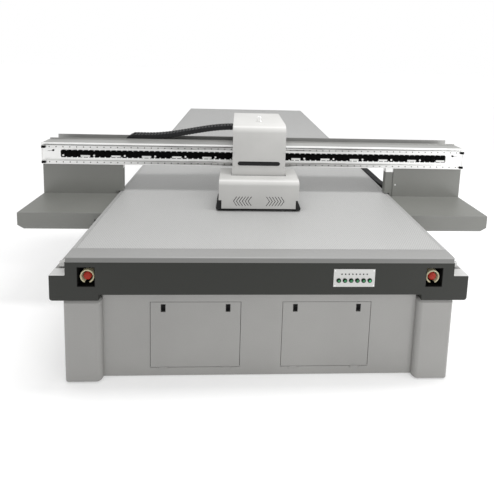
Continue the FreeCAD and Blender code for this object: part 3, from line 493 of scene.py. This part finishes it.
softEdges = {  # width of each node's broken edges; 0 where the CAD shape is already rounded
    "front_band": 0.0022, "leg_covers": 0.0014, "side_panels": 0.0008,
    "rear_panel": 0.0008, "table_border": 0.0, "vacuum_bed": 0.0009, "frame_side_beams": 0.003,
    "frame_crossmembers": 0.003, "gantry_uprights": 0.002, "beam": 0.0011, "cable_trough": 0.0006,
    "side_shelves": 0.0009, "upper_cover": 0.0013, "lower_cover": 0.0013, "door_left": 0.0008,
    "door_right": 0.0008, "control_plate": 0.0005, "x_rail_stops": 0.002, "lifting_hook": 0.0,
    "y_rails": 0.001, "y_chain_channel": 0.0006, "head_plate": 0.001, "x_bearing_blocks": 0.001,
    "y_bearing_blocks": 0.001, "levelling_feet": 0.001, "power_inlet": 0.0008,
    "electronics_box": 0.0006, "vacuum_blower": 0.002, "ink_bottles": 0.002,
    "carriage_plate": 0.001, "print_heads": 0.0008, "uv_lamps": 0.0006, "lift_slide": 0.001,
}
ownFinish = {"cable_trough": extras["strip"]}
for node, width in softEdges.items():
    edged(node, width, ownFinish.get(node))
print("sheet metal and frame finished:", len(softEdges))


def makePanelScrews():
    # button-head screws along the seams of the side and rear panels
    screws = {"radius": 0.006, "proud": 0.0025, "rim": 0.0012, "sides": 10, "pitch": 0.35,
              "inset": 0.02, "rearFace": 0.023}
    bm = bmesh.new()

    def row(first, last, axis):
        first, last = Vector(first), Vector(last)
        count = max(2, round((last - first).length / screws["pitch"]) + 1)
        for i in range(count):
            addRod(bm, first.lerp(last, i / (count - 1)), axis, screws["radius"],
                   screws["proud"], screws["rim"], screws["sides"])

    inset = screws["inset"]
    low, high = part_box("side_panels")
    for side in (-1, 1):
        x = side * high.x
        for z in (low.z + inset, high.z - inset):
            row((x, low.y + inset, z), (x, high.y - inset, z), (side, 0, 0))
    low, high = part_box("rear_panel")
    back = low.y + screws["rearFace"]
    for z in (low.z + inset, high.z - inset):
        row((low.x + inset, back, z), (high.x - inset, back, z), (0, 1, 0))
    settled(bm, "panel_screws", "base", "bare_steel")


def makeEarCaps():
    # pale plates on the tops of the band's two ears
    cap = {"gap": 0.002, "thickness": 0.0025, "depth": 0.058, "inset": 0.001, "edge": 0.0008}
    low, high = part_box("front_band")
    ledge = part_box("frame_side_beams")[1].z
    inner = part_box("table_border")[1].x + cap["gap"]
    bm = bmesh.new()
    for side in (-1, 1):
        left, right = sorted((side * inner, side * (high.x - cap["inset"])))
        addBlock(bm, (left, low.y + cap["inset"], ledge),
                 (right, low.y + cap["depth"], ledge + cap["thickness"]), cap["edge"])
    settled(bm, "ear_caps", "base", "plate_metal", extras["alloy"])


def makeShelfScrew():
    # the one screw that shows on the right shelf's upright panel
    screw = {"x": 1.31, "z": 0.96, "radius": 0.0065, "length": 0.003, "rim": 0.0012}
    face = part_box("side_shelves")[1].y - screw["length"]
    bm = bmesh.new()
    addRod(bm, (screw["x"], face, screw["z"]), (0, -1, 0), screw["radius"], screw["length"],
           screw["rim"])
    settled(bm, "shelf_panel_screw", "gantry", "bare_steel", extras["label"])


makePanelScrews()
makeEarCaps()
makeShelfScrew()
print("screws and ear caps placed")


def makeRails():
    # square rail bars with a waist on each side and capped bolt holes
    rail = {"height": 0.023, "edge": 0.0012, "waist": 0.0022, "waistPlaces": (0.3, 0.45, 0.7, 0.85),
            "capRadius": 0.0052, "capPitch": 0.06, "capSunk": 0.002, "capProud": 0.0004,
            "capRim": 0.0003, "endGap": 0.04}
    low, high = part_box("x_rails")
    half = rail["height"] / 2
    depth = high.y - low.y
    waist = [low.y + depth * share for share in rail["waistPlaces"]]
    outline = [(low.y, -half), (low.y, half), (waist[0], half), (waist[1], half - rail["waist"]),
               (waist[2], half - rail["waist"]), (waist[3], half), (high.y, half)]
    outline += [(y, -rise) for y, rise in reversed(outline[2:])]
    bars = bmesh.new()
    caps = bmesh.new()
    for z in (low.z + half, high.z - half):
        verts = [bars.verts.new((low.x, y, z + rise)) for y, rise in outline]
        face = bars.faces.new(verts)
        pushed = bmesh.ops.extrude_face_region(bars, geom=[face])["geom"]
        bmesh.ops.translate(bars, vec=(high.x - low.x, 0, 0),
                            verts=[v for v in pushed if isinstance(v, bmesh.types.BMVert)])
        count = int((high.x - low.x - rail["endGap"]) / rail["capPitch"])
        first = (low.x + high.x - (count - 1) * rail["capPitch"]) / 2
        for i in range(count):
            addRod(caps, (first + i * rail["capPitch"], low.y + rail["capSunk"], z), (0, -1, 0),
                   rail["capRadius"], rail["capSunk"] + rail["capProud"], rail["capRim"], 12)
    settled(bars, "guide_rails", "gantry", "bare_steel", None, ("x_rails",), rail["edge"])
    settled(caps, "guide_rail_caps", "gantry", "black_plastic")


def makeMagnetTrack():
    # resin base with magnets that stand out past its long edges, a blank label and a screw each
    track = {"modules": 13, "edgeDepth": 0.0075, "baseDrop": 0.003, "baseEdge": 0.001}
    magnet = {"pitch": 0.0492, "length": 0.037, "backGap": 0.001, "edge": 0.0015}
    label = {"start": 0.178, "length": 0.083, "height": 0.017, "rise": 0.006, "proud": 0.0006,
             "sunk": 0.001, "edge": 0.0003}
    screw = {"start": 0.025, "rise": 0.02, "radius": 0.009, "length": 0.0035, "sunk": 0.001,
             "rim": 0.0012}
    low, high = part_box("x_magnet_track")
    resin = bmesh.new()
    addBlock(resin, (low.x, low.y + track["baseDrop"], low.z + track["edgeDepth"]),
             (high.x, high.y, high.z - track["edgeDepth"]), track["baseEdge"])
    count = round((high.x - low.x) / magnet["pitch"])
    pitch = (high.x - low.x) / count
    half = magnet["length"] / 2
    for i in range(count):
        x = low.x + (i + 0.5) * pitch
        addBlock(resin, (x - half, low.y, low.z), (x + half, high.y - magnet["backGap"], high.z),
                 magnet["edge"])
    settled(resin, "magnet_track", "gantry", "magnet_black", None, ("x_magnet_track",))

    labels = bmesh.new()
    screws = bmesh.new()
    step = (high.x - low.x) / track["modules"]
    for i in range(track["modules"]):
        x = low.x + i * step
        left, bottom = x + label["start"], low.z + label["rise"]
        addBlock(labels, (left, low.y - label["proud"], bottom),
                 (left + label["length"], low.y + label["sunk"], bottom + label["height"]),
                 label["edge"], 1)
        addRod(screws, (x + screw["start"], low.y + screw["sunk"], low.z + screw["rise"]),
               (0, -1, 0), screw["radius"], screw["length"], screw["rim"], 14)
    settled(labels, "track_labels", "gantry", "white_paint", extras["label"])
    settled(screws, "track_screws", "gantry", "beam_metal", extras["label"])


def makeBeamDetails():
    # grooves of the extrusion beside the rails, drawn as black strips whose darkness is painted
    # shade in the gaps, end-plate bolts and the two travel sensors
    groove = {"height": 0.004, "gap": 0.0015, "inset": 0.02, "proud": 0.0006, "sunk": 0.0005}
    bolt = {"radius": 0.006, "length": 0.005, "inset": 0.03, "sunk": 0.001, "rim": 0.001,
            "tubeHeight": 0.196}
    sensor = {"inset": 0.105, "drop": 0.052, "radius": 0.0085, "length": 0.006, "rim": 0.0015,
              "leadRadius": 0.0012, "leadLength": 0.05, "leadFall": 0.12}
    low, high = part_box("beam")
    railLow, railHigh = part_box("x_rails")
    front = railHigh.y
    grooveShade = bmesh.new()
    # black strips: painted shade in the gaps just above and below the rails
    for z in (railHigh.z + groove["gap"], railLow.z - groove["gap"] - groove["height"]):
        addBlock(grooveShade, (low.x + groove["inset"], front - groove["proud"], z),
                 (high.x - groove["inset"], front + groove["sunk"], z + groove["height"]))
    settled(grooveShade, "beam_groove_shade", "gantry", "black_plastic")
    bolts = bmesh.new()
    inset = bolt["inset"]
    for side in (-1, 1):
        for y in (front + inset, high.y - inset):
            for z in (high.z - bolt["tubeHeight"] + inset, high.z - inset):
                addRod(bolts, (side * (high.x - bolt["sunk"]), y, z), (side, 0, 0),
                       bolt["radius"], bolt["length"], bolt["rim"], 12)
    settled(bolts, "beam_end_bolts", "gantry", "cast_metal")
    sensors = bmesh.new()
    z = railHigh.z - sensor["drop"]
    for side in (-1, 1):
        x = side * (high.x - sensor["inset"])
        addRod(sensors, (x, front, z), (0, -1, 0), sensor["radius"], sensor["length"],
               sensor["rim"])
        addRod(sensors, (x, front - sensor["leadRadius"], z), (side, 0, -sensor["leadFall"]),
               sensor["leadRadius"], sensor["leadLength"], 0.0, 8)
    settled(sensors, "travel_sensors", "gantry", "black_plastic")


makeRails()
makeMagnetTrack()
makeBeamDetails()
print("beam dressed")


def chainLink(size):
    # a hollow link: two cheeks, a bar above and below, and a core that hides the gaps
    share = {"cheekThickness": 0.08, "cheekReach": 0.56, "cheekHeight": 0.42, "bar": 0.07,
             "barReach": 0.36, "barEdge": 0.05, "coreReach": 0.2, "coreWidth": 0.42,
             "coreHeight": 0.33}
    length, width, height = size
    bm = bmesh.new()
    cheek = width * share["cheekThickness"] / 2
    reach, rise = length * share["cheekReach"], height * share["cheekHeight"]
    for y in (cheek - width / 2, width / 2 - cheek):
        addBlock(bm, (-reach, y - cheek, -rise), (reach, y + cheek, rise))
    bar, reach = height * share["bar"], length * share["barReach"]
    for z in (bar - height / 2, height / 2 - bar):
        addBlock(bm, (-reach, -width / 2, z - bar), (reach, width / 2, z + bar),
                 length * share["barEdge"], 1)
    core = Vector((length * share["coreReach"], width * share["coreWidth"],
                   height * share["coreHeight"]))
    addBlock(bm, -core, core)
    mesh = bpy.data.meshes.new("chain_link")
    bm.to_mesh(mesh)
    bm.free()
    return mesh


def chainPiece(size, places):
    # places are matrices, one for each link
    link = chainLink(size)
    bm = bmesh.new()
    for place in places:
        before = len(bm.verts)
        bm.from_mesh(link)
        bm.verts.ensure_lookup_table()
        bmesh.ops.transform(bm, matrix=place, verts=bm.verts[before:])
    bpy.data.meshes.remove(link)
    return bm


def runPlaces(points, pitch, frameOf):
    # evenly spaced links along a line of straight runs
    places = []
    ends = list(zip(points, points[1:]))
    total = sum((b - a).length for a, b in ends)
    count = max(1, round(total / pitch))
    for i in range(count):
        along = (i + 0.5) * total / count
        for a, b in ends:
            length = (b - a).length
            if along <= length:
                break
            along -= length
        spot = a.lerp(b, min(1.0, along / length))
        places.append(frameOf(spot, math.atan2(b.y - a.y, b.x - a.x)))
    return places


def easedRun(start, level, end, steps=14):
    # from start down to the level run with a soft bend, then straight to end
    points = []
    for i in range(steps + 1):
        t = i / steps
        eased = t * t * (3 - 2 * t)
        points.append(start + Vector(((level.x - start.x) * t, (level.y - start.y) * eased)))
    return points + [end]


def arcPlaces(centre, radius, first, last, count, frameOf):
    # evenly spaced links round the fold
    places = []
    for i in range(count):
        angle = first + (last - first) * (i + 0.5) / count
        spot = centre + Vector((math.cos(angle), math.sin(angle))) * radius
        places.append(frameOf(spot, angle + math.pi / 2))
    return places


def chainRun(name, node, size, places):
    # a run from its fold end, still, which goes half as far as its driven end, moving
    # it is made in stretches, each its own piece
    stretches = 6

    count = len(places)
    for i in range(stretches):
        first, last = i / stretches, (i + 1) / stretches
        picked = places[count - round(last * count):count - round(first * count)]
        piece = settled(chainPiece(size, picked), f"{name}_{i + 1}", None, "chain_plastic", None,
                        (node,))
        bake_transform(piece)


def makeBeamChain():
    chain = {"pitch": 0.03, "foldLinks": 7, "level": 0.12}
    low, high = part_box("x_chain_lower")
    upLow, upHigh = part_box("x_chain_upper")
    height = high.z - low.z
    size = (chain["pitch"], high.y - low.y, height)
    middle = (low.y + high.y) / 2
    foldX = low.x
    zLow, zUp, zEnd = (low.z + high.z) / 2, upLow.z + height / 2, upHigh.z - height / 2

    def frameOf(spot, slope):
        return Matrix.Translation((spot.x, middle, spot.y)) @ Matrix.Rotation(-slope, 4, "Y")

    run = easedRun(Vector((upHigh.x, zEnd)), Vector((foldX + chain["level"], zUp)),
                   Vector((foldX, zUp)))
    chainRun("beam_chain_upper", "x_chain_upper", size, runPlaces(run, chain["pitch"], frameOf))

    run = [Vector((foldX, zLow)), Vector((high.x, zLow))]
    bm = chainPiece(size, runPlaces(run, chain["pitch"], frameOf))
    lower = settled(bm, "beam_chain_lower", None, "chain_plastic", None, ("x_chain_lower",))
    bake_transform(lower)

    centre = Vector((foldX, (zLow + zUp) / 2))
    bm = chainPiece(size, arcPlaces(centre, (zUp - zLow) / 2, math.pi / 2, 1.5 * math.pi,
                                    chain["foldLinks"], frameOf))
    settled(bm, "beam_chain_fold", "x_fold", "chain_plastic", None, ("x_chain_fold",))


def makeTableChain():
    chain = {"pitch": 0.036, "foldLinks": 8, "fall": 0.4}
    low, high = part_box("y_chain_lower")
    upLow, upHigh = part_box("y_chain_upper")
    height = high.z - low.z
    size = (chain["pitch"], high.x - low.x, height)
    middle = (low.x + high.x) / 2
    foldY = high.y
    zLow, zUp, zStart = (low.z + high.z) / 2, upLow.z + height / 2, upHigh.z - height / 2

    def frameOf(spot, slope):
        return (Matrix.Translation((middle, spot.x, spot.y)) @ Matrix.Rotation(slope, 4, "X")
                @ Matrix.Rotation(math.pi / 2, 4, "Z"))

    run = easedRun(Vector((upLow.y, zStart)), Vector((upLow.y + chain["fall"], zUp)),
                   Vector((foldY, zUp)))
    chainRun("table_chain_upper", "y_chain_upper", size, runPlaces(run, chain["pitch"], frameOf))

    run = [Vector((low.y, zLow)), Vector((foldY, zLow))]
    bm = chainPiece(size, runPlaces(run, chain["pitch"], frameOf))
    lower = settled(bm, "table_chain_lower", None, "chain_plastic", None, ("y_chain_lower",))
    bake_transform(lower)

    centre = Vector((foldY, (zLow + zUp) / 2))
    bm = chainPiece(size, arcPlaces(centre, (zUp - zLow) / 2, -math.pi / 2, math.pi / 2,
                                    chain["foldLinks"], frameOf))
    settled(bm, "table_chain_fold", "y_fold", "chain_plastic", None, ("y_chain_fold",))


makeBeamChain()
makeTableChain()
print("drag chains linked")


def makeStopSwitches():
    case = {"half": 0.055, "wall": 0.0025, "edge": 0.0008, "floor": 0.003}
    guard = {"outer": 0.045, "inner": 0.037, "gapHalf": 0.4, "frontGap": 0.0125, "round": 0.003,
             "chamfer": 0.002}
    cap = {"radius": 0.027, "rise": 0.0155}
    # shares of the cap's radius, and heights over its rim
    dome = [(0.0, 0.0155), (0.35, 0.0152), (0.42, 0.0142), (0.5, 0.0150), (0.74, 0.0136),
            (0.92, 0.0100), (1.0, 0.0050), (0.98, -0.0005), (0.8, -0.003)]
    stem = [(0.016, -0.010), (0.008, -0.012), (0.008, -0.05), (0.0, -0.05)]
    low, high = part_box("stop_stations")
    front, back = low.y, high.y
    floorFace = back - case["floor"]
    for side in ("left", "right"):
        buttonLow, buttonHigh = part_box("stop_button_" + side)
        x, z = (buttonLow.x + buttonHigh.x) / 2, (buttonLow.z + buttonHigh.z) / 2
        left, right, wall = x - case["half"], x + case["half"], case["wall"]
        bm = bmesh.new()
        for edge in (left, right - wall):
            addBlock(bm, (edge, front, low.z), (edge + wall, back, high.z), case["edge"])
        for edge in (low.z, high.z - wall):
            addBlock(bm, (left, front, edge), (right, back, edge + wall), case["edge"])
        addBlock(bm, (left + wall, floorFace, low.z + wall),
                 (right - wall, back, high.z - wall))
        standsFor = ("stop_stations",) if side == "left" else ()
        settled(bm, "stop_case_" + side, "base", "black_plastic", None, standsFor)

        # the collar is open at the bottom, with its lip rounded over
        inner, outer = guard["inner"], guard["outer"]
        deep = floorFace - guard["frontGap"] - front
        outline = [(inner, 0.0), (outer, 0.0), (outer, deep - guard["round"]),
                   (outer - guard["round"], deep), (inner + guard["chamfer"], deep),
                   (inner, deep - guard["chamfer"])]
        bm = bmesh.new()
        addTurned(bm, outline, (x, floorFace, z), (0, -1, 0), 40,
                  2 * (math.pi - guard["gapHalf"]), guard["gapHalf"] - math.pi / 2)
        settled(bm, "stop_guard_" + side, "base", "white_paint", extras["cream"])

        outline = [(cap["radius"] * share, height) for share, height in dome] + stem
        bm = bmesh.new()
        addTurned(bm, outline, (x, buttonLow.y + cap["rise"], z), (0, -1, 0), 36)
        settled(bm, "stop_mushroom_" + side, "stop_" + side, "red_plastic", None,
                ("stop_button_" + side,))


def makeControls():
    plate = {"bezelProud": 0.004, "screwInset": 0.009, "screwRadius": 0.0045,
             "screwProud": 0.0018}
    button = {"count": 6, "lit": 6, "capRadius": 0.009, "rimInner": 0.0094, "rimOuter": 0.0145,
              "rimEdge": 0.0035, "rimProud": 0.0052, "rimSlope": 0.002}
    dot = {"count": 8, "pitch": 0.0235, "radius": 0.0045, "rise": 0.043, "proud": 0.0015}
    softRim = 0.0006
    # shares of the cap's radius, and heights under its crown
    crown = [(0.0, 0.0), (0.5, -0.0003), (0.8, -0.0012), (0.95, -0.0026), (1.0, -0.0045)]
    low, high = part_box("control_plate")
    faceY = low.y + plate["bezelProud"]
    inner, outer = button["rimInner"], button["rimOuter"]
    rimOutline = [(inner, 0.0), (outer, 0.0), (outer, button["rimEdge"]),
                  (inner + button["rimSlope"], button["rimProud"]), (inner, button["rimProud"])]
    rims = bmesh.new()
    for i in range(1, button["count"] + 1):
        name = f"push_button_{i}"
        capLow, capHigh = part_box(name)
        x, buttonZ = (capLow.x + capHigh.x) / 2, (capLow.z + capHigh.z) / 2
        length, radius = capHigh.y - capLow.y, button["capRadius"]
        outline = [(radius * share, height) for share, height in crown]
        cap = bmesh.new()
        addTurned(cap, outline + [(radius, -length), (0.0, -length)], (x, capLow.y, buttonZ),
                  (0, -1, 0), 28)
        lit = extras["lit green"] if i == button["lit"] else None
        settled(cap, f"button_cap_{i}", f"button_{i}", "green_plastic", lit, (name,))
        addTurned(rims, rimOutline, (x, faceY, buttonZ), (0, -1, 0), 28)
    settled(rims, "button_rims", "base", "black_plastic")

    dots = bmesh.new()
    middle = (low.x + high.x) / 2
    for i in range(dot["count"]):
        x = middle + (i - (dot["count"] - 1) / 2) * dot["pitch"]
        addRod(dots, (x, faceY, buttonZ + dot["rise"]), (0, -1, 0), dot["radius"], dot["proud"],
               softRim, 12)
    settled(dots, "indicator_dots", "base", "black_plastic")
    screws = bmesh.new()
    inset = plate["screwInset"]
    for x in (low.x + inset, high.x - inset):
        for z in (low.z + inset, high.z - inset):
            addRod(screws, (x, faceY, z), (0, -1, 0), plate["screwRadius"], plate["screwProud"],
                   softRim, 14)
    settled(screws, "control_plate_screws", "base", "beam_metal")


def makeLatches():
    pocket = {"height": 0.047, "topDrop": 0.0175, "play": 0.0005, "rim": 0.003, "rimProud": 0.0012,
              "rimSunk": 0.0003, "rimEdge": 0.0004}
    paddle = {"faceDrop": 0.003, "proud": 0.0015, "sunk": 0.007, "edge": 0.001, "below": 0.0085}
    ridge = {"count": 3, "pitch": 0.005, "width": 0.0022, "inset": 0.003, "sunk": 0.001,
             "edge": 0.0006}
    tongue = {"inset": 0.005, "start": 0.0035, "overlap": 0.002}
    for side in ("left", "right"):
        rims = bmesh.new()
        for place in ("a", "b"):
            node = f"latch_{side}_{place}"
            low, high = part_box(node)
            face = low.y + paddle["faceDrop"]
            x0, x1 = low.x - pocket["play"], high.x + pocket["play"]
            z1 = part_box("door_" + side)[1].z - pocket["topDrop"]
            z0 = z1 - pocket["height"]
            rim = pocket["rim"]
            for a, b in (((x0 - rim, z0 - rim), (x0, z1 + rim)),
                         ((x1, z0 - rim), (x1 + rim, z1 + rim)),
                         ((x0, z0 - rim), (x1, z0)), ((x0, z1), (x1, z1 + rim))):
                addBlock(rims, (a[0], face - pocket["rimProud"], a[1]),
                         (b[0], face + pocket["rimSunk"], b[1]), pocket["rimEdge"], 1)
            bm = bmesh.new()
            bottom, top = z0 + paddle["below"], z1 - pocket["play"]
            addBlock(bm, (low.x, face - paddle["proud"], bottom),
                     (high.x, face + paddle["sunk"], top), paddle["edge"])
            for i in range(ridge["count"]):
                z = bottom + (i + 1) * ridge["pitch"]
                addBlock(bm, (low.x + ridge["inset"], low.y, z),
                         (high.x - ridge["inset"], face - ridge["sunk"], z + ridge["width"]),
                         ridge["edge"])
            addBlock(bm, (low.x + tongue["inset"], face + tongue["start"], top - tongue["overlap"]),
                     (high.x - tongue["inset"], face + paddle["sunk"], high.z), ridge["edge"])
            settled(bm, node + "_paddle", node + "_paddle", "black_plastic", None, (node,))
        settled(rims, "latch_rims_" + side, f"door_{side}_leaf", "black_plastic")


makeStopSwitches()
makeControls()
makeLatches()
print("controls and latches made")


def makeWindow():
    # dark pane behind the upper cover's slot, a sheet of painted shade standing for the cover's
    # dark inside, and the slot's raised rim
    window = {"length": 0.36, "height": 0.038, "rise": 0.359}
    shadePane = {"margin": 0.012, "half": 0.03, "front": 0.0035, "back": 0.0065, "edge": 0.001}
    rim = {"width": 0.003, "proud": 0.0015, "sunk": 0.0002}
    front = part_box("upper_cover")[0].y
    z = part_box("table_border")[1].z + window["rise"]
    half = window["length"] / 2
    bm = bmesh.new()
    addBlock(bm, (-half - shadePane["margin"], front + shadePane["front"], z - shadePane["half"]),
             (half + shadePane["margin"], front + shadePane["back"], z + shadePane["half"]), shadePane["edge"])
    settled(bm, "window_shade_pane", "carriage", "black_plastic", extras["shadePane"])

    bm = bmesh.new()
    end = window["height"] / 2
    outer, straight = end + rim["width"], half - end
    outline = [(end, 0.0), (end, rim["proud"]), (outer, rim["proud"]), (outer, 0.0)]
    for side in (-1, 1):
        addTurned(bm, outline, (side * straight, front + rim["sunk"], z), (0, -1, 0), 14, math.pi,
                  -side * math.pi / 2)
    for rise in (-outer, end):
        addBlock(bm, (-straight, front - rim["proud"], z + rise),
                 (straight, front + rim["sunk"], z + rise + rim["width"]))
    settled(bm, "window_rim", "carriage", "white_paint")


def makeCoverScrews():
    # rises over the table's top, and depths behind each cover's front face
    screw = {"radius": 0.004, "proud": 0.0015, "rim": 0.0006, "sides": 12}
    upper = {"frontInset": 0.014, "frontRises": (0.331, 0.456), "sideDepth": 0.09,
             "sideRises": (0.246, 0.386, 0.606)}
    lower = {"frontDepth": 0.06, "backDepth": 0.04, "rise": 0.11}

    def addScrew(bm, place, axis):
        addRod(bm, place, axis, screw["radius"], screw["proud"], screw["rim"], screw["sides"])

    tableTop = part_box("table_border")[1].z
    low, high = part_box("upper_cover")
    bm = bmesh.new()
    for x in (low.x + upper["frontInset"], high.x - upper["frontInset"]):
        for rise in upper["frontRises"]:
            addScrew(bm, (x, low.y, tableTop + rise), (0, -1, 0))
    for x, side in ((low.x, -1), (high.x, 1)):
        for rise in upper["sideRises"]:
            addScrew(bm, (x, low.y + upper["sideDepth"], tableTop + rise), (side, 0, 0))
    settled(bm, "upper_cover_screws", "carriage", "cast_metal")

    low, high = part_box("lower_cover")
    bm = bmesh.new()
    for x, side in ((low.x, -1), (high.x, 1)):
        for y in (low.y + lower["frontDepth"], high.y - lower["backDepth"]):
            addScrew(bm, (x, y, low.z + lower["rise"]), (side, 0, 0))
    settled(bm, "lower_cover_screws", "head_unit", "cast_metal")


makeWindow()
makeCoverScrews()
print("carriage detailed")
